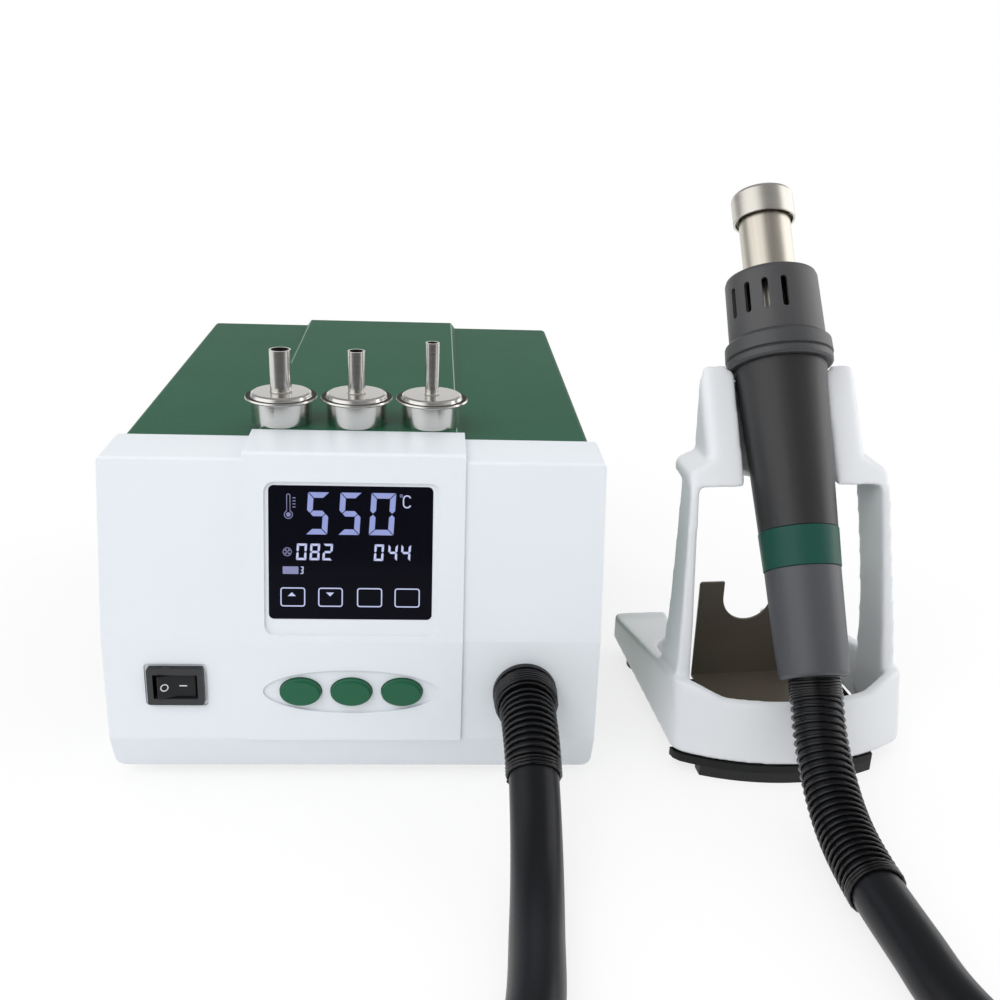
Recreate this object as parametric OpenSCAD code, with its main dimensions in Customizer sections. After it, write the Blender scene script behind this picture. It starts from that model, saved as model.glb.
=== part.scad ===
// Hot air rework station: a cased blower and control unit, a hot air gun on a hose, and a bench holder.
// Millimetres, +Z up, table at z = 0. The bench frame has x = 0 on the station's centreline and
// y = 0 at the top front edge of its panel. The holder has its own frame: across, back and up.

/* [Station case] */
// Width of the front panel
station_w = 190; // [186:1:196]
// Height of the cover's top above the table
station_h = 132.9; // [130:0.1:138]
// Distance from the front panel's top edge to the back of the cover
station_d = 235.3; // [230:0.1:250]
// Height of the rubber feet
foot_h = 5; // [4:0.5:6]
// Radius of the rubber feet
foot_r = 9; // [7:0.5:11]
// How far the feet stand in from the sides and the back of the case
foot_inset = 20; // [16:1:26]
// Thickness of the sheet steel
sheet = 1.2; // [1:0.1:1.5]
// Width of the steel cover
cover_w = 183.3; // [181:0.1:184]
// Width of the raised ridge along the cover
ridge_w = 77.3; // [70:0.1:80]
// Height of the raised ridge
ridge_h = 3; // [2:0.1:4]
// Number of vent slots on each side of the cover
side_vents = 9; // [4:1:10]

/* [Front panel] */
// Wall of the moulded front panel
panel_wall = 3; // [2.6:0.1:3.4]
// Depth of the ledge on top of the panel
ledge_d = 28.1; // [26:0.1:32]
// How far the lower face stands forward of the top edge
bulge = 13.6; // [12:0.1:15]
// Height of the upper crease
crease_hi = 64.6; // [63:0.1:66]
// Height of the lower crease
crease_lo = 21.6; // [18:0.1:24]
// How far the bottom edge is set back from the lower face
chin = 7; // [5:0.5:9]
// Width of the raised centre of the panel
centre_w = 83.4; // [80:0.1:84]
// How far the centre stands proud of the faces beside it
centre_out = 1.2; // [0.8:0.1:1.6]
// How far the centre's ledge stands above the ledges beside it
centre_up = 2.8; // [2:0.1:3.5]
// Radius of the panel's bottom corners
panel_corner = 5; // [3:0.5:8]

/* [Display] */
// Width of the display glass
glass_w = 61.5; // [58:0.1:64]
// Height of the display glass, along the sloping face
glass_h = 51.2; // [46:0.1:53]
// Thickness of the display glass
glass_t = 2; // [1.5:0.1:2.4]
// Distance from the panel's top edge down the face to the middle of the glass
glass_drop = 35.5; // [34:0.1:37]
// Distance of the glass's middle to the left of the centreline
glass_left = 1.2; // [0:0.1:2]
// Width of the shallow recess round the glass
recess_w = 66; // [65:0.1:68]
// Height of the shallow recess round the glass
recess_h = 59; // [57:0.1:61]

/* [Power switch] */
// Distance of the switch's middle to the left of the centreline
switch_left = 68; // [64:0.5:72]
// Height of the switch's middle above the table
switch_z = 45.3; // [40:0.1:50]
// Length of the switch's bezel
bezel_l = 21.4; // [21:0.1:22]
// Height of the switch's bezel
bezel_h = 15.6; // [15:0.1:16]
// How far the bezel stands off the panel
bezel_t = 2; // [1.6:0.1:2.4]
// Length of the rocker
rocker_l = 14.6; // [14:0.1:15.4]
// Width of the rocker
rocker_w = 9.6; // [9:0.1:10]
// Angle of the rocker to each side of its middle position
rocker_tilt = 11; // [9:0.5:12]

/* [Channel buttons] */
// Width of each oval button
button_w = 15.8; // [14:0.1:16]
// Height of each oval button
button_h = 11.2; // [10:0.1:12]
// Distance between the buttons' middles
button_pitch = 19.5; // [19:0.1:21]
// Distance of the middle button to the left of the centreline
button_left = 1; // [0:0.5:2]
// Height of the buttons' middles above the table
button_z = 43.2; // [42:0.1:46]
// How far the buttons stand out of the panel
button_out = 2; // [1.5:0.1:2.5]
// Travel of the buttons
button_travel = 1; // [0.6:0.1:1.2]
// Clearance round each button
button_gap = 0.3; // [0.2:0.05:0.4]

/* [Air path] */
// Distance of the hose outlet to the right of the centreline
hose_x = 66.4; // [65:0.1:68]
// Height of the hose outlet above the table
hose_z = 42.9; // [42:0.1:44]
// Outside diameter of the hose
hose_d = 18.5; // [18:0.5:20]
// Diameter of the gland's flange on the panel
gland_d = 25; // [24.6:0.1:26]
// Thickness of the gland's flange
gland_t = 2.4; // [2:0.1:3]
// Radius of the blower's impeller
impeller_r = 31; // [28:0.5:32]
// Height of the blower's impeller
impeller_h = 28; // [24:1:32]
// Number of blades on the impeller
blades = 16; // [10:1:20]
// Radius of the blower motor
motor_r = 18; // [16:0.5:20]

/* [Spare nozzles] */
// Diameter of the flange of a spare nozzle
flange_d = 29; // [27:0.1:29.4]
// Diameter of the skirt that slips over the heater tube
skirt_d = 24; // [23.6:0.1:25]
// Height of the skirt
skirt_h = 10; // [9:0.1:11]
// Distance between the spare nozzles' middles
nozzle_pitch = 30; // [29.8:0.1:31]
// Outside diameter of the left nozzle's pipe
pipe_a = 8.6; // [8:0.1:10]
// Outside diameter of the middle nozzle's pipe
pipe_b = 7; // [6:0.1:7.8]
// Outside diameter of the right nozzle's pipe
pipe_c = 5.6; // [5:0.1:6]
// Length of the left and middle pipes above the flange
pipe_short = 17; // [14:0.5:22]
// Length of the right pipe above the flange
pipe_long = 21; // [18:0.5:26]
// Wall of the stainless steel of the nozzles
nozzle_wall = 0.8; // [0.6:0.1:1]

/* [Gun] */
// Lean of the gun back from upright, in degrees
gun_lean = 33.5; // [32:0.5:35]
// Radius of the tail sleeve at its bottom
tail_r = 13.9; // [13.5:0.1:14.5]
// Length of the tail sleeve
tail_l = 43.5; // [40:0.5:46]
// Length of the green band
band_l = 16; // [14:0.5:18]
// Radius of the handle at the green band
grip_r = 16; // [15.6:0.1:16.4]
// Radius of the handle under the collar
handle_r = 18.8; // [18.4:0.1:19.2]
// Length of the handle between the band and the collar
handle_l = 70; // [66:1:74]
// Radius of the collar
collar_r = 22.5; // [22:0.1:23]
// Length of the collar
collar_l = 12; // [10:0.5:14]
// Radius of the slotted head guard
head_r = 20.1; // [19.6:0.1:20.6]
// Length of the slotted head guard
head_l = 29; // [27:0.5:31]
// Radius of the heater tube
tube_r = 11; // [10.6:0.1:11.2]
// Length of the heater tube in front of the head guard
tube_l = 35.5; // [32:0.5:38]
// Radius of the nozzle on the heater tube
ring_r = 13.3; // [12.9:0.1:13.8]
// Length of the nozzle on the heater tube
ring_l = 13; // [12:0.5:14]
// Wall of the moulded gun parts
gun_wall = 2.2; // [2:0.1:2.6]

/* [Holder] */
// Distance between the centrelines of the station and the holder
holder_x = 180.7; // [178:0.1:200]
// Turn of the holder towards the back of the station, in degrees
holder_yaw = 5.5; // [4:0.5:7]
// Width of the holder's base
base_w = 101; // [98:0.5:104]
// Distance from the front of the base to the back of its feet
base_d = 123; // [118:1:130]
// Height of the middle of the base's front wall above the table
base_h = 32.5; // [31:0.5:34]
// How far the front wall rises from its middle to its corners
base_rise = 5; // [3:0.5:6]
// Height of the base's feet at the back, above the table
tail_h = 20.5; // [18:0.5:23]
// Width of each of the two feet behind the legs
wing_w = 26; // [24:0.5:28]
// Wall of the base
base_wall = 5; // [4.5:0.1:5.5]
// Half the clear width of the cradle
cradle_r = 20; // [19.8:0.1:20.2]
// Wall of the cradle's pipe
cradle_wall = 4.5; // [4:0.1:5]
// Outside half width of the cradle
cradle_half = 34.5; // [34:0.5:36]
// Thickness of the black bottom plate
plate_t = 3.5; // [3:0.1:4]
// Height of the holder's rubber pads
pad_h = 4.5; // [4:0.1:5]
// Width of the notched steel bracket
bracket_w = 47; // [44:1:50]
// Height of the bracket above the bottom plate
bracket_h = 48; // [45:1:51]
// Radius of the notch in the bracket
notch_r = 11.5; // [10:0.5:12]
// Thickness of the bracket
bracket_t = 1.6; // [1.5:0.1:2]

/* [Hidden] */
$fn = 64;

// Clearances
seat = 0.1;
slip = 0.05;
rest_gap = 0.3;

// Case
base_z = foot_h;
tray_z = foot_h + sheet;
face_lean = atan(bulge / (station_h - crease_hi));
centre_top = station_h + centre_up;
ridge_top = station_h + ridge_h;
cover_half = cover_w / 2;
cover_inner = cover_half - sheet;
ridge_slope = 2;
cover_z = foot_h + 2;
rear_y = station_d - sheet;
inlet_lip = 2.5;
inlet_x = -52;
inlet_z = 34;
lower_y = -bulge;
screw_r = 3;
screw_h = 2;
nozzle_y = ledge_d + flange_d / 2 - 2.5;
nozzle_x = -1.5;
post_r = skirt_d / 2 - nozzle_wall - 0.7;
post_h = 5;

// Air path
gland_y = -bulge - gland_t;
hose_r = hose_d / 2;
duct_r = 11;
duct_wall = 1.8;
blower_x = hose_x - 38;
blower_y = 150;
scroll_small = impeller_r + 5;
scroll_big = 50;
scroll_wall = 2.5;
scroll_h = 48;
scroll_z = hose_z - scroll_h / 2;
outlet_w = 24;
outlet_y = blower_y - 60;
shaft_r = 2.5;

// Gun, measured up its axis from the middle of the tail's end
band_s = tail_l;
handle_s = band_s + band_l;
collar_s = handle_s + handle_l;
head_s = collar_s + collar_l;
head_top = head_s + head_l;
tube_top = head_top + tube_l;
ring_s = tube_top - ring_l + 3.5;
gun_v = -11.5;
gun_z = 48.5;

// Holder
base_z0 = pad_h + plate_t;
base_half = base_w / 2;
front_r = 90;
front_v = -11.5;
front_lean = 14;
arc_v = front_v + front_r;
front_screws = [for (side = [-1, 1]) [side * 29.5, 3, base_z0]];
base_end = front_v + base_d;
well_half = base_half - base_wall - 1;
well_end = 80;
shoulder_half = 43.5;
bracket_v = 67;
shoulder_lo = 113.3;
shoulder_hi = 123;
cradle_z = 158;
cradle_lo = 88;
cradle_top = collar_s - rest_gap;
magnet_r = 4;
magnet_t = 2.6;

// Middle of the whole object on the table, without the hose
tail_pitch = cos(holder_yaw) * sin(gun_lean);
tail_reach = tail_r * sqrt(1 - tail_pitch * tail_pitch) - tail_pitch;
edge_half = base_half - 3;
corner_v = front_v
    + (arc_v - sqrt(front_r * front_r - edge_half * edge_half) + 6 - front_v) / cos(front_lean);
right_x = holder_x + base_half * cos(holder_yaw) - corner_v * sin(holder_yaw);
front_y = gun_v * cos(holder_yaw) - tail_reach;
back_y = station_d + inlet_lip;
mid = [(right_x - station_w / 2) / 2, (front_y + back_y) / 2, 0];

// Route of the hose, from the gland on the panel to the tail of the gun
floor_z = hose_r + 0.3;
gun_end = [holder_x - gun_v * sin(holder_yaw), gun_v * cos(holder_yaw), gun_z];
down_gun = [sin(gun_lean) * sin(holder_yaw), -sin(gun_lean) * cos(holder_yaw), -cos(gun_lean)];
route = [[hose_x, gland_y, hose_z], [66.8, -30, 41.6], [67.3, -43, 37.4], [67.5, -56, 30.4],
    [67.3, -74, 20], [66.5, -92, 12.9], [65, -112, floor_z], [62.3, -142, floor_z],
    [57, -168, floor_z], [47, -200, floor_z], [36, -234, floor_z], [28, -270, floor_z],
    [26, -308, floor_z], [34, -346, floor_z], [54, -380, floor_z], [84, -404, floor_z],
    [121, -414, floor_z], [159, -408, floor_z], [192, -388, floor_z], [216, -358, floor_z],
    [229, -322, floor_z], [230, -284, floor_z], [223, -246, floor_z], [212, -210, floor_z],
    [200, -174, floor_z], [190.3, -143.5, floor_z], [187, -121.6, 10.4], [183.6, -96, 11.4],
    [182.6, -79, 11.7], [182.2, -66, 12.8], [182, -54, 15.6], [181.9, -43, 20.2], [181.8, -32.5, 26.6],
    [181.8, -24, 33.6], gun_end + 8 * down_gun, gun_end];
GUARD_A_END = 3;
GUARD_B_START = 27;

// A point on the smooth curve through four route points
function curve(a, b, c, d, t) = 0.5 * (2 * b + (c - a) * t + (2 * a - 5 * b + 4 * c - d) * t * t
    + (3 * b - a - 3 * c + d) * t * t * t);
function at(points, i) = points[max(0, min(len(points) - 1, i))];
// The smooth curve through the route from one of its points to another
function along(points, from, to, steps) = [for (i = [from:to - 1], k = [0:steps - 1])
    curve(at(points, i - 1), at(points, i), at(points, i + 1), at(points, i + 2), k / steps),
    points[to]];
function unit(v) = v / norm(v);
// The direction at each point of a path; the two ends may be given
function headings(path, first, last) = [for (i = [0:len(path) - 1])
    i == 0 && first != undef ? first : i == len(path) - 1 && last != undef ? last
    : unit(at(path, i + 1) - at(path, i - 1))];
// A ring of points about a path, level with the table
function ring(centre, heading, r, sides) = let (across = unit(cross(heading, [0, 0, 1])),
    up = cross(across, heading)) [for (k = [0:sides - 1])
    centre + r * (cos(360 * k / sides) * across + sin(360 * k / sides) * up)];
// The outline of an oval
function oval(w, h, n = 48) = [for (k = [0:n - 1]) [w / 2 * cos(360 * k / n), h / 2 * sin(360 * k / n)]];
// A rounded corner p between its neighbours a and b
function corner(p, a, b, r) = let (u = unit(a - p), v = unit(b - p), half = acos(u * v) / 2,
    middle = p + unit(u + v) * r / sin(half), q = p + u * r / tan(half) - middle,
    e = p + v * r / tan(half) - middle, start = atan2(q[1], q[0]),
    turn = (atan2(e[1], e[0]) - start + 540) % 360 - 180)
    [for (k = [0:6]) middle + r * [cos(start + turn * k / 6), sin(start + turn * k / 6)]];
// An outline whose corners [x, y, radius] are rounded
function rounded(c) = [for (i = [0:len(c) - 1]) let (p = c[i], n = len(c),
    a = c[(i + n - 1) % n], b = c[(i + 1) % n], at2 = [p[0], p[1]])
    each p[2] == 0 ? [at2] : corner(at2, [a[0], a[1]], [b[0], b[1]], p[2])];
// A rectangle about the origin with rounded corners
function block(w, h, r) = rounded([[-w / 2, -h / 2, r], [w / 2, -h / 2, r], [w / 2, h / 2, r],
    [-w / 2, h / 2, r]]);

// The whole object stands with the middle of its base at the origin
module bench() translate(-mid) children();
// The holder's frame: across, back and up
module at_holder() bench() translate([holder_x, 0, 0]) rotate([0, 0, holder_yaw]) children();
// The gun's frame: across, back below the axis, and up the axis from the tail
module at_gun() at_holder() translate([0, gun_v, gun_z]) rotate([-gun_lean, 0, 0]) children();
// The frame of the sloping face: across, up the face and out of it, from its top edge
module at_slope() bench() translate([0, 0, station_h]) rotate([90 - face_lean, 0, 0]) children();
// The frame of the upright lower face, out of it from the middle of the panel
module at_lower(x, z) bench() translate([x, lower_y, z]) rotate([90, 0, 0]) children();
// An outline across and up, extruded back from y0 to y1
module front_prism(points, y0, y1) translate([0, y1, 0]) rotate([90, 0, 0])
    linear_extrude(y1 - y0) polygon(points);
// An outline back and up, extruded across from x0 to x1
module side_prism(points, x0, x1) translate([x0, 0, 0]) rotate([90, 0, 90])
    linear_extrude(x1 - x0) polygon(points);
// A plate with rounded corners on the XY plane
module plate(w, h, t, r) linear_extrude(t) polygon(block(w, h, r));
// A round tube up the Z axis
module tube(r, bore, h) difference() {
    cylinder(r = r, h = h);
    translate([0, 0, -1]) cylinder(r = bore, h = h + 2);
}
module copies_at(places) for (p = places) translate(p) children();

// The panel's side outline, moved in by a wall; top is the ledge's height
function panel_side(out, top, inset) = let (rise = top - station_h,
    slope_y = rise * tan(face_lean), front = out - inset) rounded([
    [ledge_d + 2 * inset, base_z + inset, 0], [chin - bulge - out + inset, base_z + inset, 1.5],
    [-bulge - front, crease_lo, 5], [-bulge - front, crease_hi, 5],
    [slope_y - front, top - inset, max(0.5, 1.5 - inset)], [ledge_d + 2 * inset, top - inset, 0]]);

module panel_outer() {
    intersection() {
        side_prism(panel_side(0, station_h, 0), -station_w / 2, station_w / 2);
        front_prism(rounded([[-station_w / 2, base_z, panel_corner], [station_w / 2, base_z, panel_corner],
            [station_w / 2, station_h, 2], [-station_w / 2, station_h, 2]]), -2 * bulge, ledge_d);
    }
    intersection() {
        side_prism(panel_side(centre_out, centre_top, 0), -centre_w / 2, centre_w / 2);
        translate([-centre_w, -2 * bulge, crease_lo]) cube([2 * centre_w, ledge_d + 2 * bulge, station_h]);
    }
}
module panel_inner() {
    half = station_w / 2 - panel_wall;
    intersection() {
        side_prism(panel_side(0, station_h, panel_wall), -half, half);
        front_prism(rounded([[-half, base_z + panel_wall, panel_corner - 2],
            [half, base_z + panel_wall, panel_corner - 2], [half, station_h, 2], [-half, station_h, 2]]),
            -bulge, ledge_d + 3 * panel_wall);
    }
}

module front_panel() color([0.92, 0.93, 0.95]) difference() {
    bench() difference() {
        panel_outer();
        panel_inner();
    }
    at_slope() translate([-glass_left, -glass_drop, 0]) {
        translate([0.6, -2.4, 0]) plate(recess_w, recess_h, 2 * centre_out, 4);
        translate([0, 0, -glass_t]) plate(glass_w + 2 * seat, glass_h + 2 * seat, 2 * glass_t, 2);
        translate([0, 0, -2 * panel_wall]) plate(glass_w - 6, glass_h - 6, 3 * panel_wall, 1);
    }
    at_lower(-switch_left, switch_z) {
        translate([0, 0, -0.8]) plate(bezel_l + 2.4, bezel_h + 2.4, 2, 1.5);
        translate([0, 0, -2 * panel_wall]) plate(bezel_l - 2, bezel_h - 2, 3 * panel_wall, 0.5);
    }
    at_lower(-button_left, button_z) {
        translate([0, 0, centre_out - 0.9]) linear_extrude(3)
            polygon(oval(3 * button_pitch + 9.3, button_h + 7.5, 96));
        for (i = [-1:1]) translate([i * button_pitch, 0, -2 * panel_wall]) linear_extrude(4 * panel_wall)
            polygon(oval(button_w + 2 * button_gap, button_h + 2 * button_gap));
    }
    at_lower(hose_x, hose_z) translate([0, 0, -2 * panel_wall])
        cylinder(r = duct_r + slip, h = 4 * panel_wall);
}

function cover_outline(half, inset) = rounded([[-half, cover_z - inset, 0], [half, cover_z - inset, 0],
    [half, station_h - inset, 2.5 - inset], [ridge_w / 2 + ridge_slope, station_h - inset, 0.8],
    [ridge_w / 2, ridge_top - inset, 0.8], [-ridge_w / 2, ridge_top - inset, 0.8],
    [-ridge_w / 2 - ridge_slope, station_h - inset, 0.8], [-half, station_h - inset, 2.5 - inset]]);

module top_cover() color([0.13, 0.37, 0.27]) bench() difference() {
    front_prism(cover_outline(cover_half, 0), ledge_d, station_d);
    front_prism(cover_outline(cover_inner, sheet), ledge_d - 1, station_d + 1);
    for (side = [-1, 1], i = [0:side_vents - 1])
        translate([side * cover_half, station_d - 40 - 9 * i, 92]) rotate([0, 90, 0])
            translate([0, 0, -2 * sheet]) plate(34, 3.4, 4 * sheet, 1.6);
}

module chassis_tray() color([0.72, 0.73, 0.75]) bench() {
    reach = cover_inner - seat;
    deep = rear_y - ledge_d - 2 * seat;
    difference() {
        union() {
            translate([-reach, ledge_d + seat, base_z]) cube([2 * reach, deep, sheet]);
            for (side = [-1, 1]) translate([side < 0 ? -reach : reach - sheet, ledge_d + seat, base_z])
                cube([sheet, deep, 14]);
            translate([-reach, ledge_d + seat, base_z]) cube([2 * reach, sheet, 14]);
        }
        copies_at([for (i = [0:9]) [-75 + 6 * i, 175, base_z - 1]]) plate(2.6, 40, 3 * sheet, 1.2);
        copies_at(feet_places()) cylinder(r = 2 + slip, h = 4 * sheet + 1, center = true);
    }
}

module rear_panel() color([0.13, 0.37, 0.27]) bench() difference() {
    front_prism(cover_outline(cover_inner - seat, sheet + seat), rear_y, station_d);
    translate([inlet_x, rear_y, inlet_z]) rotate([-90, 0, 0])
        translate([0, 0, -1]) plate(27.6, 20.4, 4 * sheet, 1);
    for (i = [0:8], j = [0, 1]) translate([20 + 7 * i, rear_y, 60 + 44 * j]) rotate([-90, 0, 0])
        translate([0, 0, -1]) plate(3, 34, 4 * sheet, 1.4);
}

function feet_places() = [for (sx = [-1, 1], y = [ledge_d + foot_r + 3, station_d - foot_inset])
    [sx * (cover_half - foot_inset), y, foot_h]];
module rubber_feet() color([0.08, 0.08, 0.08]) bench() copies_at(feet_places()) {
    translate([0, 0, -foot_h]) cylinder(r1 = foot_r - 1, r2 = foot_r, h = foot_h - seat);
    translate([0, 0, -1]) cylinder(r = 2, h = sheet + 1);
}

module case_screws() color([0.35, 0.36, 0.38]) bench() {
    for (side = [-1, 1], y = [ledge_d + 18, station_d - 18]) translate([side * cover_half, y, 15])
        rotate([0, side * 90, 0]) cylinder(r = screw_r, h = screw_h);
    for (x = [-80, 80], z = [18, 120]) translate([x, station_d, z]) rotate([-90, 0, 0])
        cylinder(r = screw_r, h = screw_h);
}

module display_glass() color([0.05, 0.06, 0.12]) at_slope() translate([-glass_left, -glass_drop, -glass_t])
    plate(glass_w, glass_h, glass_t + 0.1, 1.9);

module display_board() at_slope() translate([-glass_left, -glass_drop, 0]) {
    color([0.2, 0.22, 0.25]) translate([0, 0, -glass_t - 4.2]) plate(glass_w - 7, glass_h - 7, 4, 0.8);
    color([0.1, 0.4, 0.2]) translate([0, 0, -glass_t - 5.8]) plate(glass_w + 10, glass_h - 8, 1.6, 1);
}

rocker_y = bezel_t - 3.2;
rocker_room = 0.6;
rocker_half = rocker_l / 2;
rocker_end = 3.4;
rocker_reach = rocker_half * cos(rocker_tilt) + rocker_end * sin(rocker_tilt);
module switch_body() color([0.09, 0.09, 0.1]) at_lower(-switch_left, switch_z) difference() {
    union() {
        translate([0, 0, -0.8]) plate(bezel_l, bezel_h, bezel_t + 0.8, 1);
        translate([0, 0, -14]) plate(bezel_l - 2 - 2 * seat, bezel_h - 2 - 2 * seat, 14, 0.4);
        for (x = [-5, 5]) translate([x - 0.4, -2.4, -22]) cube([0.8, 4.8, 8.1]);
    }
    translate([0, 0, -6.5]) plate(2 * rocker_reach + 2 * rocker_room, rocker_w + 2 * rest_gap, 12, 0.3);
    translate([0, 0, rocker_y]) rotate([90, 0, 0])
        cylinder(r = 1.2 + slip, h = rocker_w + 2, center = true, $fn = 32);
}
// The rocker in its own middle position: across, out, along the pin
module power_rocker() color([0.07, 0.07, 0.08]) at_lower(-switch_left, switch_z)
    translate([0, 0, rocker_y]) rotate([0, rocker_tilt, 0]) {
        rotate([90, 0, 0]) linear_extrude(rocker_w, center = true) polygon(rounded([
            [-rocker_half, -1, 0.8], [0, -3.2, 3], [rocker_half, -1, 0.8], [rocker_half, rocker_end, 0.6],
            [0, rocker_end - rocker_half * tan(rocker_tilt), 6], [-rocker_half, rocker_end, 0.6]]));
        rotate([90, 0, 0]) cylinder(r = 1.2, h = rocker_w + 1.8, center = true, $fn = 32);
    }

// A button pushes a tact switch on the board behind it
stem_l = 6;
module channel_button(i) color([0.10, 0.33, 0.25])
    at_lower(-button_left + i * button_pitch, button_z) {
        top = centre_out + button_out;
        translate([0, 0, -panel_wall - button_gap]) linear_extrude(top + panel_wall + button_gap - 0.8)
            polygon(oval(button_w, button_h));
        translate([0, 0, top - 0.8]) linear_extrude(0.8) polygon(oval(button_w - 1.2, button_h - 1.2));
        translate([0, 0, -panel_wall - button_gap - 1.2]) linear_extrude(1.2)
            polygon(oval(button_w + 2.4, button_h + 2.4));
        translate([0, 0, -panel_wall - stem_l]) cylinder(r = 2, h = stem_l - 1);
    }
module channel_button_1() channel_button(-1);
module channel_button_2() channel_button(0);
module channel_button_3() channel_button(1);

tact_z = -panel_wall - stem_l - button_travel - rest_gap;
module button_board() at_lower(-button_left, button_z) {
    color([0.1, 0.4, 0.2]) translate([0, 0, tact_z - 5.2]) plate(3 * button_pitch + 14, 16, 1.6, 1);
    for (i = [-1:1]) color([0.15, 0.15, 0.16]) translate([i * button_pitch, 0, tact_z - 3.6])
        plate(6, 6, 3.6, 0.3);
    for (x = [-1, 1]) color([0.85, 0.86, 0.88])
        translate([x * (1.5 * button_pitch + 3.8), 0, tact_z - 3.6])
        cylinder(r = 2.6, h = 3.6 - tact_z - panel_wall - seat);
}

module main_board() bench() translate([-46, 72, tray_z]) {
    color([0.1, 0.4, 0.2]) translate([0, 0, 8]) plate(72, 78, 1.6, 2);
    for (x = [-31, 31], y = [-34, 34]) color([0.8, 0.7, 0.4]) translate([x, y, seat])
        cylinder(r = 2.6, h = 8 - seat);
    color([0.75, 0.76, 0.78]) translate([-16, 20, 9.6]) {
        translate([-12, -8, 0]) cube([24, 16, 3]);
        for (i = [0:5]) translate([-12 + 4.4 * i, -8, 3]) cube([2, 16, 24]);
    }
    for (p = [[14, 24], [26, 22]]) color([0.1, 0.1, 0.12]) translate([p[0], p[1], 9.6])
        cylinder(r = 5, h = 20);
    for (p = [[-20, -20], [2, -22], [22, -18]]) color([0.12, 0.12, 0.14]) translate([p[0], p[1], 9.6])
        plate(15, 10, 8, 0.6);
}

module transformer() bench() translate([-48, 168, tray_z + seat]) {
    color([0.4, 0.4, 0.42]) difference() {
        translate([-30, -18, 0]) cube([60, 36, 50]);
        for (x = [-15, 15]) translate([x, 0, 25]) cube([10, 40, 30], center = true);
    }
    color([0.85, 0.7, 0.3]) difference() {
        translate([-19.6, -24, 10.4]) cube([39.2, 48, 29.2]);
        translate([-10.2, -25, 9]) cube([20.4, 50, 32]);
    }
}

// A three pin mains inlet with its flange on the outside of the rear panel
module power_inlet() color([0.08, 0.08, 0.09]) bench() translate([inlet_x, station_d, inlet_z])
    rotate([-90, 0, 0]) {
        difference() {
            union() {
                plate(50, 24, inlet_lip, 3);
                translate([0, 0, -18]) plate(27.2, 20, 18, 1);
            }
            translate([0, 0, -15]) plate(24.4, 16.4, 20, 2);
            for (x = [-20, 20]) translate([x, 0, -5]) cylinder(r = 1.75, h = 10);
        }
        for (p = [[0, 3], [-7, -1], [7, -1]]) translate([p[0] - 1, p[1] - 2, -15.5]) cube([2, 4, 7]);
    }

// Snail shaped outline of the blower, with its outlet towards the front
function scroll(inset) = let (start = -acos((scroll_big - outlet_w + inset) / (scroll_small - inset)),
    mouth = outlet_y - blower_y + inset) concat([[scroll_big - inset, mouth],
    [scroll_big - outlet_w + inset, mouth]], [for (k = [0:54]) let (a = start - (360 + start) * k / 54)
    (scroll_small + (scroll_big - scroll_small) * (-a - 30) / 330 - inset) * [cos(a), sin(a)]]);
module scroll_shape(inset) polygon(scroll(inset));
module at_blower(z) bench() translate([blower_x, blower_y, z]) children();
lid_z = scroll_z + scroll_h;
module blower_housing() color([0.16, 0.17, 0.18]) difference() {
    union() {
        at_blower(scroll_z) linear_extrude(scroll_h) scroll_shape(0);
        bench() translate([hose_x, outlet_y, hose_z]) rotate([90, 0, 0]) cylinder(r = duct_r, h = 14);
        for (a = [0, 120, 240]) at_blower(tray_z + seat) rotate([0, 0, a]) translate([34, 0, 0])
            cylinder(r = 5, h = scroll_z - tray_z);
    }
    at_blower(scroll_z + scroll_wall) linear_extrude(scroll_h) scroll_shape(scroll_wall);
    at_blower(scroll_z - 1) cylinder(r = 20, h = 2 * scroll_wall);
    bench() translate([hose_x, outlet_y + 10, hose_z]) rotate([90, 0, 0]) cylinder(r = duct_r - 2, h = 40);
}
module blower_lid() color([0.16, 0.17, 0.18]) at_blower(lid_z) difference() {
    linear_extrude(3) scroll_shape(0);
    translate([0, 0, -1]) cylinder(r = motor_r - 6, h = 6);
}
module blower_motor() color([0.6, 0.61, 0.63]) at_blower(lid_z + 3) difference() {
    union() {
        cylinder(r = motor_r, h = 22);
        cylinder(r = 5, h = 25);
        for (a = [45:90:315]) rotate([0, 0, a]) translate([motor_r - 1, 0, 0]) cylinder(r = 4, h = 2.5);
    }
    translate([0, 0, -1]) cylinder(r = shaft_r + slip, h = 20, $fn = 48);
}
impeller_z = scroll_z + scroll_wall + 6;
module blower_impeller() color([0.9, 0.9, 0.88]) at_blower(impeller_z) {
    translate([0, 0, impeller_h - 2]) cylinder(r = impeller_r, h = 2);
    tube(impeller_r, impeller_r - 6, 1.6);
    translate([0, 0, impeller_h - 10]) cylinder(r = 7, h = 8.5);
    cylinder_to_motor();
    for (i = [0:blades - 1]) rotate([0, 0, 360 * i / blades]) translate([impeller_r - 7.5, 0, 1.5])
        rotate([0, 0, 35]) translate([-5, -0.6, 0]) cube([10.5, 1.2, impeller_h - 3]);
}
// The shaft from the hub into the motor
module cylinder_to_motor() translate([0, 0, impeller_h - 10])
    cylinder(r = shaft_r, h = lid_z + 3 + 16 - impeller_z - impeller_h + 10, $fn = 48);

module air_duct() color([0.75, 0.76, 0.78]) bench() translate([hose_x, outlet_y - 1, hose_z])
    rotate([90, 0, 0]) tube(duct_r + duct_wall, duct_r + slip, outlet_y - 1 + bulge - panel_wall - 6);

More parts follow.
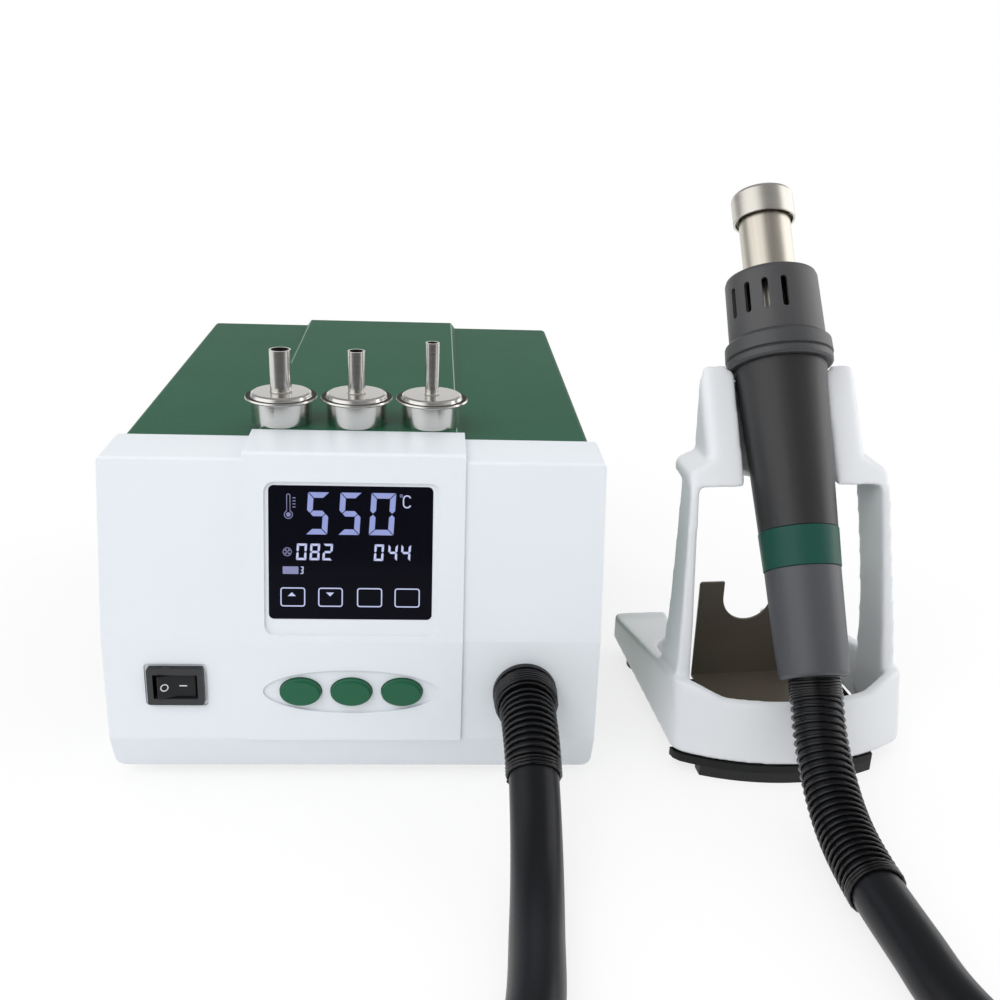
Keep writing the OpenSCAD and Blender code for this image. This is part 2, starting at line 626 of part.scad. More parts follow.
module hose_gland() color([0.07, 0.07, 0.08]) at_lower(hose_x, hose_z) difference() {
    union() {
        cylinder(r = gland_d / 2, h = gland_t);
        translate([0, 0, -panel_wall - 20]) cylinder(r = duct_r, h = panel_wall + 21);
        translate([0, 0, -panel_wall - 4]) cylinder(r = gland_d / 2 + 2, h = 4 - seat, $fn = 6);
    }
    translate([0, 0, -panel_wall - 21]) cylinder(r = duct_r - 2, h = panel_wall + 20);
}

module nozzle_posts() color([0.7, 0.71, 0.73]) bench() for (i = [-1:1])
    translate([nozzle_x + i * nozzle_pitch, nozzle_y, ridge_top]) tube(post_r, 3, post_h);

// A spare nozzle: a skirt, a flange, a raised disc and a pipe
module spare_nozzle(i, pipe, l) color([0.75, 0.75, 0.74])
    bench() translate([nozzle_x + i * nozzle_pitch, nozzle_y, ridge_top + seat])
    rotate_extrude() polygon([[skirt_d / 2 - nozzle_wall, 0], [skirt_d / 2, 0], [skirt_d / 2, skirt_h - 1],
        [flange_d / 2 - 0.4, skirt_h - 0.6], [flange_d / 2, skirt_h - 0.2],
        [flange_d / 2 - 0.3, skirt_h + 0.5], [skirt_d / 2 + 0.3, skirt_h + 0.4], [skirt_d / 2 - 0.1, skirt_h + 1.6],
        [skirt_d / 2 - 0.9, skirt_h + 2.1], [pipe / 2 + 0.5, skirt_h + 2.1], [pipe / 2, skirt_h + 2.6],
        [pipe / 2, skirt_h + 2 + l], [pipe / 2 - nozzle_wall, skirt_h + 2 + l],
        [pipe / 2 - nozzle_wall, skirt_h + 0.9], [skirt_d / 2 - nozzle_wall, skirt_h + 0.9]]);
module spare_nozzle_large() spare_nozzle(-1, pipe_a, pipe_short);
module spare_nozzle_medium() spare_nozzle(0, pipe_b, pipe_short);
module spare_nozzle_small() spare_nozzle(1, pipe_c, pipe_long);

SIDES = 12;
// A solid rod swept along a path
module swept(path, first, last, r) {
    turns = headings(path, first, last);
    n = len(path);
    polyhedron([for (i = [0:n - 1]) each ring(path[i], turns[i], r, SIDES)],
        [[for (k = [0:SIDES - 1]) k], [for (k = [SIDES - 1:-1:0]) (n - 1) * SIDES + k],
        for (i = [0:n - 2], k = [0:SIDES - 1]) let (a = i * SIDES, j = (k + 1) % SIDES)
        [a + k, a + SIDES + k, a + SIDES + j, a + j]], convexity = 10);
}
// A ribbed sleeve swept along a path, with a bore for the hose
module ribbed(path, first, last, low, high, bore) {
    turns = headings(path, first, last);
    n = len(path);
    m = n * SIDES;
    polyhedron([for (i = [0:n - 1]) each ring(path[i], turns[i],
            i < 2 || i > n - 3 || i % 2 == 0 ? high : low, SIDES),
        for (i = [0:n - 1]) each ring(path[i], turns[i], bore, SIDES)],
        [for (i = [0:n - 2], k = [0:SIDES - 1]) let (a = i * SIDES, j = (k + 1) % SIDES)
            [a + k, a + SIDES + k, a + SIDES + j, a + j],
        for (i = [0:n - 2], k = [0:SIDES - 1]) let (a = m + i * SIDES, j = (k + 1) % SIDES)
            [a + k, a + j, a + SIDES + j, a + SIDES + k],
        for (k = [0:SIDES - 1]) let (j = (k + 1) % SIDES) [k, j, m + j, m + k],
        for (k = [0:SIDES - 1]) let (j = (k + 1) % SIDES, a = (n - 1) * SIDES)
            [a + k, a + m + k, a + m + j, a + j]], convexity = 10);
}
guard_low = hose_r + 0.75;
guard_high = hose_r + 1.25;
guard_bore = hose_r + 0.2;
last_point = len(route) - 1;
leave = [0, -1, 0];
station_path = along(route, 0, GUARD_A_END, 6);
station_join = unit(route[GUARD_A_END + 1] - route[GUARD_A_END - 1]);
gun_path = along(route, GUARD_B_START, last_point, 4);
gun_join = unit(route[GUARD_B_START + 1] - route[GUARD_B_START - 1]);
module station_guard() color([0.06, 0.06, 0.07]) bench()
    ribbed(station_path, leave, station_join, guard_low, guard_high, guard_bore);
module gun_guard() color([0.06, 0.06, 0.07]) bench()
    ribbed(gun_path, gun_join, -down_gun, guard_low, guard_high, guard_bore);
module hose() color([0.09, 0.09, 0.1]) bench()
    swept(along(route, 0, GUARD_B_START, 2), leave, gun_join, hose_r);
module hose_end() color([0.09, 0.09, 0.1]) bench()
    swept(along(route, GUARD_B_START, last_point, 2), gun_join, -down_gun, hose_r);

// A hollow moulding of the gun between two heights, widening from r1 to r2
module gun_shell(s, l, r1, r2, bore1, bore2) at_gun() translate([0, 0, s]) rotate_extrude()
    polygon([[bore1, 0], [r1, 0], [r2, l], [bore2, l]]);

module tail_sleeve() color([0.42, 0.42, 0.44]) at_gun() rotate_extrude() polygon([[0, 0], [tail_r - 1, 0],
    [tail_r, 1], [tail_r + 0.6, 12], [grip_r - 0.7, tail_l], [grip_r - gun_wall - 1, tail_l],
    [grip_r - gun_wall - 1, tail_l + band_l / 2], [grip_r - gun_wall - 2, tail_l + band_l / 2],
    [grip_r - gun_wall - 2, 4], [hose_r - 2, 4], [0, 4]]);
module grip_band() color([0.11, 0.36, 0.27])
    gun_shell(band_s + seat / 2, band_l - seat, grip_r - 0.4, grip_r + 0.3, grip_r - gun_wall - 1 + slip,
        grip_r - gun_wall - 1 + slip);
module handle_body() color([0.22, 0.22, 0.23]) at_gun() translate([0, 0, handle_s]) rotate_extrude()
    polygon([[grip_r - gun_wall, 0], [grip_r, 0], [grip_r + 1.15, handle_l * 0.42],
    [handle_r - 0.3, handle_l * 0.85], [handle_r + 0.5, handle_l], [handle_r - gun_wall, handle_l]]);
module handle_board() at_gun() translate([0, 0, 12]) {
    half = grip_r - gun_wall - 2.15;
    color([0.1, 0.4, 0.2]) translate([-half, -0.8, 0]) cube([2 * half, 1.6, 96]);
    color([0.85, 0.86, 0.88]) translate([-5, 0.8, 78]) cube([10, 3, 14]);
}
module head_collar() color([0.30, 0.30, 0.31]) at_gun() translate([0, 0, collar_s + seat / 2])
    rotate_extrude() polygon([[handle_r - 6, 0], [collar_r - 1.2, 0], [collar_r - 0.4, 0.8], [collar_r - 0.3, 3.4],
    [collar_r - 1, 3.6], [collar_r - 1, 4.2], [collar_r, 4.4], [collar_r - 0.3, collar_l - 1.8],
    [collar_r - 2.2, collar_l - seat], [handle_r - 6, collar_l - seat]]);
slot_group = [for (i = [0:3]) -76 + 23 * i];
module head_guard() color([0.27, 0.27, 0.28]) at_gun() translate([0, 0, head_s]) difference() {
    rotate_extrude() polygon([[head_r - gun_wall, 0], [head_r, 0], [head_r - 0.6, head_l - 2.4],
        [head_r - 1.2, head_l - 0.8], [head_r - 2.8, head_l], [tube_r + 0.6, head_l],
        [tube_r + 0.6, head_l - gun_wall], [head_r - gun_wall, head_l - gun_wall]]);
    for (turn = [0, 180], a = slot_group) rotate([0, 0, turn + a - 90])
        translate([head_r - 5, 0, head_l * 0.53]) rotate([0, 90, 0]) plate(13.5, 2.6, 10, 1.25);
}
core_r = tube_r - 2.2;
module heater_tube() color([0.72, 0.71, 0.68]) at_gun() translate([0, 0, head_s + 0.2]) rotate_extrude()
    polygon([[core_r + 0.4, 0], [head_r - gun_wall - 0.4, 0], [head_r - gun_wall - 0.4, 1.2], [tube_r, 1.2],
    [tube_r, tube_top - head_s - 0.2], [tube_r - nozzle_wall, tube_top - head_s - 0.2],
    [tube_r - nozzle_wall, 2], [core_r + 0.4, 2]]);
module heater_core() color([0.85, 0.82, 0.74]) at_gun() translate([0, 0, collar_s + 1]) difference() {
    union() {
        cylinder(r = core_r, h = tube_top - collar_s - 5);
        cylinder(r = handle_r - 6 - seat, h = 4);
    }
    for (a = [0:60:300]) rotate([0, 0, a]) translate([core_r * 0.55, 0, 4])
        cylinder(r = 1.7, h = tube_top - collar_s, $fn = 24);
}
module gun_nozzle() color([0.76, 0.75, 0.72]) at_gun() translate([0, 0, ring_s]) rotate_extrude()
    polygon([[ring_r - 1, 0], [ring_r, 0], [ring_r, ring_l - 2.2], [ring_r - 0.7, ring_l - 0.7],
    [ring_r - 2.2, ring_l], [tube_r - 1.6, ring_l], [tube_r - 1.6, ring_l - 1.2],
    [tube_r + slip, ring_l - 1.2], [tube_r + slip, ring_l - 9], [ring_r - 1, ring_l - 9]]);

// The base's outline seen from above, moved in by a wall
function base_outline(inset, back) = let (r = front_r - inset, half = base_half - inset,
    edge = asin((half - 3) / r), v = arc_v - r * cos(edge) + 6) concat(
    [for (k = [-12:12]) [r * sin(edge * k / 12), arc_v - r * cos(edge * k / 12)]],
    [[half - 0.8, v - 3.4], [half, v], [half, back], [-half, back], [-half, v], [-half + 0.8, v - 3.4]]);
// A prism whose walls lean back with the legs
module leaning(h) translate([0, front_v, base_z0]) rotate([-front_lean, 0, 0])
    translate([0, -front_v, -20]) linear_extrude(h) children();
function base_side() = rounded([[-40, base_z0, 0], [base_end + 5, base_z0, 0], [base_end + 5, tail_h, 0],
    [base_end - 8, tail_h, 4], [40, base_h + 1, 10], [14, base_h + base_rise, 4],
    [-40, base_h + base_rise, 0]]);
// The rim of the base seen from the front, low in the middle
function rim() = rounded([[-60, 0, 0], [60, 0, 0], [60, base_h + base_rise, 0], [43, base_h + base_rise, 8],
    [30, base_h, 10], [-30, base_h, 10], [-43, base_h + base_rise, 8], [-60, base_h + base_rise, 0]]);
module horseshoe(grow) difference() {
    polygon(rounded([[-base_half + grow, -60, 0], [base_half - grow, -60, 0],
        [base_half - grow, base_end - grow, 4], [-base_half + grow, base_end - grow, 4]]));
    gap = base_half - wing_w + grow;
    polygon([[-gap, well_end - 16], [gap, well_end - 16], [gap, base_end + 9], [-gap, base_end + 9]]);
}
// A leg at each height: its front and back, then its inner and outer face at the front and at the back
leg_levels = [[14, 10, 38, 43, 42.5, 49, 49], [33, 13.5, 38, 42.3, 41.3, 48.6, 48.4],
    [58, 18, 40, 41.4, 40.2, 46.9, 46], [80, 23.5, 45, 40.7, 39, 45.4, 44],
    [111, 31.5, 53, 39.6, 36.6, 43.6, 41.2], [shoulder_hi + 1, 39.6, 57, 39, 35.8, 42.6, 40.2]];
module leg() {
    n = len(leg_levels);
    polyhedron([for (a = leg_levels) each [[a[3], a[1], a[0]], [a[5], a[1], a[0]], [a[6], a[2], a[0]],
            [a[4], a[2], a[0]]]],
        concat([[0, 1, 2], [0, 2, 3]],
        [for (i = [0:n - 2], k = [0:3]) let (a = 4 * i, j = (k + 1) % 4) each
            [[a + k, a + 4 + k, a + 4 + j], [a + k, a + 4 + j, a + j]]],
        [[4 * n - 4, 4 * n - 2, 4 * n - 3], [4 * n - 4, 4 * n - 1, 4 * n - 2]]), convexity = 4);
}
// The holder's outline seen from the front
holder_outline = rounded([[-52, 0, 0], [52, 0, 0], [shoulder_half, 119, 4], [cradle_half, 122.3, 2],
    [cradle_half, cradle_z, 4.5], [-cradle_half, cradle_z, 4.5], [-cradle_half, 122.3, 2],
    [-shoulder_half, 119, 4]]);
arm_front = 0.7;
// The side of the arms, which lean with the gun in front and stand upright behind
arm_side = [[0, shoulder_lo], [0, cradle_z], [63, cradle_z], [61.5, 140], [60, shoulder_hi],
    [56, shoulder_lo]];
// A bar along the gun's axis, from the cradle out to a half width
module arm_bar(half, r) in_gun_frame() translate([0, 0, 40]) linear_extrude(130)
    polygon(rounded([[cradle_r - 2, arm_front, 0], [half, arm_front, r], [half, 60, 0],
        [cradle_r - 2, 60, 0]]));
module in_gun_frame() translate([0, gun_v, gun_z]) rotate([-gun_lean, 0, 0]) children();
module holder_body() color([0.93, 0.94, 0.96]) at_holder() difference() {
    union() {
        difference() {
            intersection() {
                translate([0, 0, base_z0]) linear_extrude(base_h) horseshoe(0);
                leaning(80) polygon(base_outline(0, base_end + 60));
                side_prism(base_side(), -base_half, base_half);
                front_prism(rim(), -40, base_end);
            }
            intersection() {
                leaning(80) polygon(base_outline(base_wall, 200));
                translate([0, 0, base_z0 - 1]) linear_extrude(base_h + 20)
                    polygon(rounded([[-well_half, -40, 0], [well_half, -40, 0],
                        [well_half, well_end, 30], [-well_half, well_end, 30]]));
            }
        }
        intersection() {
            front_prism(holder_outline, -40, base_end);
            for (side = [0, 1]) mirror([side, 0, 0]) {
                leg();
                intersection() {
                    side_prism(arm_side, 0, base_half);
                    arm_bar(cradle_half, 4.5);
                }
                intersection() {
                    side_prism(arm_side, 0, base_half);
                    arm_bar(shoulder_half, 3);
                    cube([base_half, base_end, shoulder_hi]);
                }
            }
        }
        for (p = front_screws) translate(p) cylinder(r = 5, h = 9);
        in_gun_frame() intersection() {
            translate([0, 0, cradle_lo]) cylinder(r = cradle_r + cradle_wall, h = cradle_top - cradle_lo);
            translate([-40, arm_front, cradle_lo]) cube([80, 40, 60]);
        }
    }
    in_gun_frame() {
        translate([0, 0, 40]) cylinder(r = cradle_r, h = 120);
        translate([-cradle_r, -60, 40]) cube([2 * cradle_r, 60, 120]);
        translate([0, 0, cradle_top]) cylinder(r = collar_r + rest_gap, h = 40);
        translate([-collar_r - rest_gap, -60, cradle_top]) cube([2 * (collar_r + rest_gap), 60, 40]);
        translate([0, cradle_r + 1.6, 112]) rotate([-90, 0, 0]) cylinder(r = magnet_r + slip, h = 20);
    }
    copies_at(holder_screw_places()) cylinder(r = 1.5, h = 8);
}
module cradle_magnet() color([0.6, 0.6, 0.62]) at_gun() translate([0, cradle_r + 1.7, 112])
    rotate([-90, 0, 0]) cylinder(r = magnet_r, h = magnet_t);

module bracket_face() difference() {
    polygon(rounded([[-bracket_w / 2, 0, 0], [bracket_w / 2, 0, 0], [bracket_w / 2, bracket_h, 1.5],
        [-bracket_w / 2, bracket_h, 1.5]]));
    translate([-0.5, bracket_h - 7.5]) circle(r = notch_r);
    translate([-0.5 - notch_r, bracket_h - 7.5]) square([2 * notch_r, 20]);
}
module holder_bracket() color([0.22, 0.20, 0.18]) at_holder() translate([0, 0, base_z0 + seat]) {
    translate([0, bracket_v, 0]) rotate([90, 0, 0]) linear_extrude(bracket_t) bracket_face();
    translate([-bracket_w / 2, 4, 0]) cube([bracket_w, bracket_v - 4, bracket_t]);
}
pad_end = 33.5;
module holder_plate() color([0.08, 0.08, 0.08]) at_holder() difference() {
    translate([0, 0, pad_h]) linear_extrude(plate_t) {
        intersection() {
            horseshoe(2);
            translate([0, 5]) polygon(base_outline(6, base_end - 11));
        }
        intersection() {
            polygon(base_outline(0, 60));
            translate([-base_half, -30]) square([base_half + pad_end, 38]);
        }
    }
    copies_at(holder_screw_places()) translate([0, 0, -base_z0]) cylinder(r = 1.6, h = base_z0 + 1);
    copies_at(holder_screw_places()) translate([0, 0, -plate_t - 1]) cylinder(r = 3.2, h = 2.9);
}
module pad_arc() intersection() {
    difference() {
        polygon(base_outline(0.2, 80));
        polygon(base_outline(14, 90));
    }
    translate([-40, -30]) square([40 + pad_end, 34]);
}
module holder_pads() color([0.05, 0.05, 0.05]) at_holder() {
    linear_extrude(pad_h) pad_arc();
    for (side = [-1, 1]) translate([side * (base_half - wing_w / 2), base_end - 17, 0])
        cylinder(r = 9, h = pad_h);
}
function holder_screw_places() = concat(front_screws,
    [for (side = [-1, 1]) [side * (base_half - wing_w / 2), base_end - 34, base_z0]]);
module holder_screws() color([0.3, 0.3, 0.32]) at_holder() copies_at(holder_screw_places()) {
    translate([0, 0, -plate_t + 0.1]) cylinder(r = 3, h = 1.7);
    translate([0, 0, -plate_t]) cylinder(r = 1.45, h = plate_t + 7);
}

front_panel();
top_cover();
chassis_tray();
rear_panel();
rubber_feet();
case_screws();
display_glass();
display_board();
switch_body();
power_rocker();
channel_button_1();
channel_button_2();
channel_button_3();
button_board();
main_board();
transformer();
power_inlet();
blower_housing();
blower_lid();
blower_motor();
blower_impeller();
air_duct();
hose_gland();
nozzle_posts();
spare_nozzle_large();
spare_nozzle_medium();
spare_nozzle_small();
station_guard();
hose();
hose_end();
gun_guard();
tail_sleeve();
grip_band();
handle_body();
handle_board();
head_collar();
head_guard();
heater_tube();
heater_core();
gun_nozzle();
holder_body();
holder_bracket();
holder_plate();
holder_pads();
holder_screws();
cradle_magnet();
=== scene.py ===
"""Hot air rework station: cased control unit, hot air gun on its hose, and bench holder."""

import math

import bpy
from mathutils import Matrix, Vector


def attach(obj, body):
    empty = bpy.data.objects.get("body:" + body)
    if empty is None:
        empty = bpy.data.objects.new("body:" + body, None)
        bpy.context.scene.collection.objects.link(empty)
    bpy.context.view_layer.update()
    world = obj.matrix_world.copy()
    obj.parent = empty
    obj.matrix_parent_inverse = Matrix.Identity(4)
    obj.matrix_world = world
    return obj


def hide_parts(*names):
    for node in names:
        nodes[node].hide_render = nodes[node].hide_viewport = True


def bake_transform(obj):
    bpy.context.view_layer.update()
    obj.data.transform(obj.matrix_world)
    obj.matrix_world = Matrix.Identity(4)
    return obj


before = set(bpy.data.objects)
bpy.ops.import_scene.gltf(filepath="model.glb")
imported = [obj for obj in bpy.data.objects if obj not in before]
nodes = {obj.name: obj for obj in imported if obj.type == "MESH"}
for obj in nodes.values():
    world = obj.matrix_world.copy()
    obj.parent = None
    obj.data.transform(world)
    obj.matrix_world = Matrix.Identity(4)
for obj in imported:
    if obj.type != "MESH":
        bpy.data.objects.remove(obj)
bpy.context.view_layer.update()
bpy.context.scene.view_settings.view_transform = "Standard"

# Places and sizes from the CAD source, in millimetres
MID = (67.569, 107.644)
HOLDER_X = 180.7
HOLDER_YAW = math.radians(5.5)
GUN_LEAN = math.radians(33.5)
GUN_V, GUN_Z = -11.5, 48.5
STATION_H = 132.9
CREASE_Z = 64.6
LOWER_Y = -13.6
FACE_LEAN = math.atan(-LOWER_Y / (STATION_H - CREASE_Z))
# The display glass: its centre across and up the slope, then its width and height
GLASS_X, GLASS_Y, GLASS_W, GLASS_H = -1.2, -35.5, 61.5, 51.2
# The rocker: its place on the lower face, its pin's height, its tilt, half its length and its end's height
ROCKER_X, ROCKER_Z, ROCKER_PIN = -68, 45.3, -1.2
ROCKER_TILT = math.radians(11)
ROCKER_HALF, ROCKER_END = 7.3, 3.4

MM = Matrix.Scale(0.001, 4)
BENCH = MM @ Matrix.Translation((-MID[0], -MID[1], 0))
HOLDER = BENCH @ Matrix.Translation((HOLDER_X, 0, 0)) @ Matrix.Rotation(HOLDER_YAW, 4, "Z")
GUN = HOLDER @ Matrix.Translation((0, GUN_V, GUN_Z)) @ Matrix.Rotation(-GUN_LEAN, 4, "X")
SLOPE = BENCH @ Matrix.Translation((0, 0, STATION_H)) @ Matrix.Rotation(math.pi / 2 - FACE_LEAN, 4, "X")

# Degrees past which an edge is rounded
EDGE_ANGLE = 32
# Degrees up to which an edge is shaded smooth: most pieces; the hose, the springs and the holder
SMOOTH_ANGLE = 35
ROUND_ANGLE = 50


def lower_face(x, z):
    """The frame of the upright lower face: across, up, and out of it."""
    return BENCH @ Matrix.Translation((x, LOWER_Y, z)) @ Matrix.Rotation(math.pi / 2, 4, "X")


# ---- camera, at the photograph's place ----
# Yaw, pitch down and roll in degrees; the spot in the station's millimetres; the sensor and the lens
CAMERA_DEGREES = (3.57, 20.21, 2.05)
CAMERA_SPOT = (28.3, -426.6, 275.2)
SENSOR, LENS = 36, 43.14


def look():
    """The camera that took the photograph, solved from the case's corners."""
    yaw, pitch, roll = (math.radians(a) for a in CAMERA_DEGREES)
    forward = Vector((math.sin(yaw) * math.cos(pitch), math.cos(yaw) * math.cos(pitch), -math.sin(pitch)))
    right = Vector((math.cos(yaw), -math.sin(yaw), 0))
    up = right.cross(forward)
    across = math.cos(roll) * right + math.sin(roll) * up
    above = math.cos(roll) * up - math.sin(roll) * right
    turn = Matrix((across, above, -forward)).transposed().to_4x4()
    bpy.ops.object.camera_add()
    camera = bpy.context.object
    camera.matrix_world = Matrix.Translation(BENCH @ Vector(CAMERA_SPOT)) @ turn
    camera.data.sensor_width = SENSOR
    camera.data.lens = LENS
    camera.data.clip_start = 0.01
    bpy.context.scene.camera = camera


look()

# ---- materials ----
# A mix node's sockets: its two colours and their result, and its two plain values
COLOUR_A, COLOUR_B, COLOUR_OUT = 6, 7, 2
VALUE_A, VALUE_B = 2, 3
# The depth of a surface's relief, in metres
RELIEF_DEPTH = 0.0002


def linear(code):
    """A six digit sRGB hex colour as linear RGBA."""
    parts = [int(code[i : i + 2], 16) / 255 for i in (0, 2, 4)]
    return [c / 12.92 if c <= 0.04045 else ((c + 0.055) / 1.055) ** 2.4 for c in parts] + [1.0]


def add(tree, kind, settings=(), sockets=()):
    """A node of that kind with its settings, and its sockets set to values or linked to outputs."""
    made = tree.nodes.new(kind)
    for name, value in dict(settings).items():
        setattr(made, name, value)
    for name, value in dict(sockets).items():
        if isinstance(value, bpy.types.NodeSocket):
            tree.links.new(value, made.inputs[name])
        else:
            made.inputs[name].default_value = value
    return made


def surface(name, **sockets):
    """A material of one principled shader; returns it with its tree, shader and coordinates."""
    made = bpy.data.materials.new(name)
    made.use_nodes = True
    tree = made.node_tree
    shader = tree.nodes["Principled BSDF"]
    for key, value in sockets.items():
        shader.inputs[key.replace("_", " ")].default_value = value
    place = add(tree, "ShaderNodeTexCoord").outputs["Object"]
    return made, tree, shader, place


def noise(tree, place, scale, detail):
    """The value of a noise texture at those coordinates."""
    return add(tree, "ShaderNodeTexNoise", {}, {"Vector": place, "Scale": scale, "Detail": detail}).outputs["Fac"]


def tinted(tree, share, dark, colour):
    """The dark colour where the share is 0 and the light one where it is 1."""
    tint = add(tree, "ShaderNodeMix", {"data_type": "RGBA"}, {"Factor": share})
    tint.inputs[COLOUR_A].default_value = linear(dark)
    tint.inputs[COLOUR_B].default_value = linear(colour)
    return tint.outputs[COLOUR_OUT]


def textured(tree, shader, texture, smoothest, roughest, relief):
    """Gives the shader its roughness and its relief from one texture."""
    gloss = add(tree, "ShaderNodeMapRange", {}, {"Value": texture, "To Min": smoothest, "To Max": roughest})
    tree.links.new(gloss.outputs["Result"], shader.inputs["Roughness"])
    bump = add(tree, "ShaderNodeBump", {}, {"Height": texture, "Strength": relief, "Distance": RELIEF_DEPTH})
    tree.links.new(bump.outputs["Normal"], shader.inputs["Normal"])


def grained(name, colour, dark, grain_mm, relief, rough, spread=0.06, patch_mm=35, **sockets):
    """Moulded or painted: soft patches in the colour, fine grain in the gloss and the relief."""
    made, tree, shader, place = surface(name, **sockets)
    patch = noise(tree, place, 1000 / patch_mm, detail=3)
    tree.links.new(tinted(tree, patch, dark, colour), shader.inputs["Base Color"])
    grain = noise(tree, place, 1000 / grain_mm, detail=2)
    textured(tree, shader, grain, rough - spread, rough + spread, relief)
    return made


def drawn_metal(name, colour, dark, rough, size_mm, turn=(0, 0, 0), relief=0.05):
    """Turned or drawn metal: fine lines along one way, from noise stretched along it."""
    made, tree, shader, place = surface(name, Metallic=1.0)
    squeeze = add(tree, "ShaderNodeMapping", {"vector_type": "TEXTURE"},
        {"Vector": place, "Rotation": turn, "Scale": [v / 1000 for v in size_mm]})
    line = noise(tree, squeeze.outputs["Vector"], scale=1.0, detail=4)
    tree.links.new(tinted(tree, line, dark, colour), shader.inputs["Base Color"])
    textured(tree, shader, line, smoothest=rough - 0.05, roughest=rough + 0.07, relief=relief)
    return made


def smoked(name, colour, dark):
    """Smoked cover glass: black and glossy, a touch of blue."""
    made, tree, shader, place = surface(name, Roughness=0.07, IOR=1.52)
    cloud = noise(tree, place, scale=14.0, detail=2)
    tree.links.new(tinted(tree, cloud, dark, colour), shader.inputs["Base Color"])
    return made


def glowing(name, colour, dark, strength):
    """A lit segment: pale blue, a little uneven as a backlight is."""
    made, tree, shader, place = surface(name, Roughness=0.08, IOR=1.5)
    cloud = noise(tree, place, scale=180.0, detail=2)
    tree.links.new(tinted(tree, cloud, dark, colour), shader.inputs["Emission Color"])
    shader.inputs["Base Color"].default_value = linear("0a0b14")
    shader.inputs["Emission Strength"].default_value = strength
    return made


# Each has its name, its colour and its darker patches, its grain in millimetres, its relief and its roughness.
# ABS mouldings: even satin, with the faint spark texture of the tool
white_abs = grained("white moulded ABS", "e3e8ed", "dee4ea", 0.6, 0.08, 0.36, IOR=1.53)
holder_abs = grained("off-white moulded ABS", "e2e5e8", "dddfe3", 0.6, 0.08, 0.36, IOR=1.53)
green_abs = grained("green moulded ABS", "1c6043", "17583c", 0.5, 0.10, 0.36, IOR=1.38)
band_abs = grained("green grip band", "184c40", "13443a", 0.5, 0.10, 0.40, IOR=1.36)
blower_abs = grained("black moulded ABS", "2a2b2d", "252628", 0.6, 0.15, 0.45, IOR=1.53)
# powder coated sheet: a low orange peel that breaks up the highlights
green_coat = grained("green powder coat", "1e5a3f", "195239", 0.9, 0.22, 0.48, IOR=1.24)
# the same coat, a little shinier, lightened into a painted highlight along the ridge's folds
ridge_highlight_coat = grained("green coat lightened as a painted highlight on a fold", "7fa592", "749a87", 0.9, 0.15, 0.40, IOR=1.4)
plate_coat = grained("black plate paint", "111212", "0d0e0e", 0.8, 0.2, 0.5, IOR=1.33)
bracket_steel = grained("brown oxide coated steel", "5e574c", "544c43", 0.7, 0.12, 0.34, IOR=1.5)
# nylons of the gun, the switch, the gland and the impeller
tail_nylon = grained("grey filled nylon", "47484d", "414247", 0.5, 0.20, 0.44, IOR=1.62)
handle_nylon = grained("charcoal filled nylon", "242426", "202022", 0.5, 0.22, 0.44, IOR=1.58)
head_nylon = grained("charcoal heat resistant nylon", "424244", "3c3c3e", 0.5, 0.22, 0.44, IOR=1.62)
collar_nylon = grained("grey heat resistant nylon", "3e3f41", "38393b", 0.5, 0.22, 0.44, IOR=1.62)
black_nylon = grained("black moulded nylon", "141518", "111214", 0.5, 0.15, 0.40, IOR=1.4)
rocker_nylon = grained("black polished nylon", "1f2023", "1b1c1f", 0.6, 0.08, 0.34, IOR=1.3)
bezel_nylon = grained("black satin nylon", "2a2b2f", "252629", 0.5, 0.12, 0.38, IOR=1.5)
impeller_nylon = grained("natural moulded nylon", "dedcd4", "d6d3c9", 0.6, 0.1, 0.4, IOR=1.53)
# rubber, lacquer and the inside parts
pad_rubber = grained("black foot rubber", "161718", "121313", 0.8, 0.25, 0.62, IOR=1.45)
hose_rubber = grained("black silicone hose", "141519", "101115", 1.2, 0.06, 0.34, IOR=1.33)
spring_lacquer = grained("black lacquered spring wire", "0b0b0d", "08080a", 0.8, 0.02, 0.16,
    spread=0.03, IOR=1.45)
circuit_mask = grained("green solder mask", "1f5a38", "164a2c", 3.0, 0.05, 0.3, patch_mm=4, IOR=1.55)
heater_ceramic = grained("fired heater ceramic", "dcd3c0", "cfc5b0", 0.3, 0.3, 0.7, IOR=1.6)
core_varnish = grained("varnished laminations", "4a4644", "3c3937", 1.0, 0.3, 0.5, IOR=1.5)
# near black for the nozzles' bores: painted shade in the holes
bore_shade = grained("painted shade in a bore", "1c1b1a", "121110", 0.5, 0.2, 0.6, IOR=1.5)
mark_ink = grained("white mark ink", "e0e0e0", "d8d8d8", 1.0, 0.0, 0.5)
# bare metals, with the size of their lines in millimetres; the gun's own are turned along its lean
GUN_TURN = GUN.to_euler()
spare_steel = drawn_metal("spun stainless", "e2e0dc", "cccac6", 0.20, (16, 16, 0.4), relief=0.015)
tube_steel = drawn_metal("warm drawn stainless", "e0dace", "c3bdb1", 0.32, (0.9, 0.9, 30), GUN_TURN)
ring_steel = drawn_metal("turned stainless", "e0ddd6", "cbc7bf", 0.32, (16, 16, 0.5), GUN_TURN)
tray_zinc = drawn_metal("zinc plated sheet", "b9bbbd", "a7a9ab", 0.38, (16, 1.1, 16))
screw_black = drawn_metal("blackened screw steel", "58595c", "4c4d50", 0.35, (1.1, 1.1, 16))
duct_foil = drawn_metal("foil duct", "c2c4c6", "b0b2b4", 0.3, (16, 1.1, 16))
motor_steel = drawn_metal("plain motor can", "9a9c9f", "86888b", 0.34, (1.1, 1.1, 16))
# the display
display_glass = smoked("smoked display glass", "080916", "04040a")
digit_glow = glowing("lit digits", "9ca6da", "8f99d2", 1.0)
small_glow = glowing("lit small digits", "ccd3f4", "bcc4ea", 1.0)
faint_glow = glowing("lit symbols", "9c9ec6", "8d90bd", 0.85)


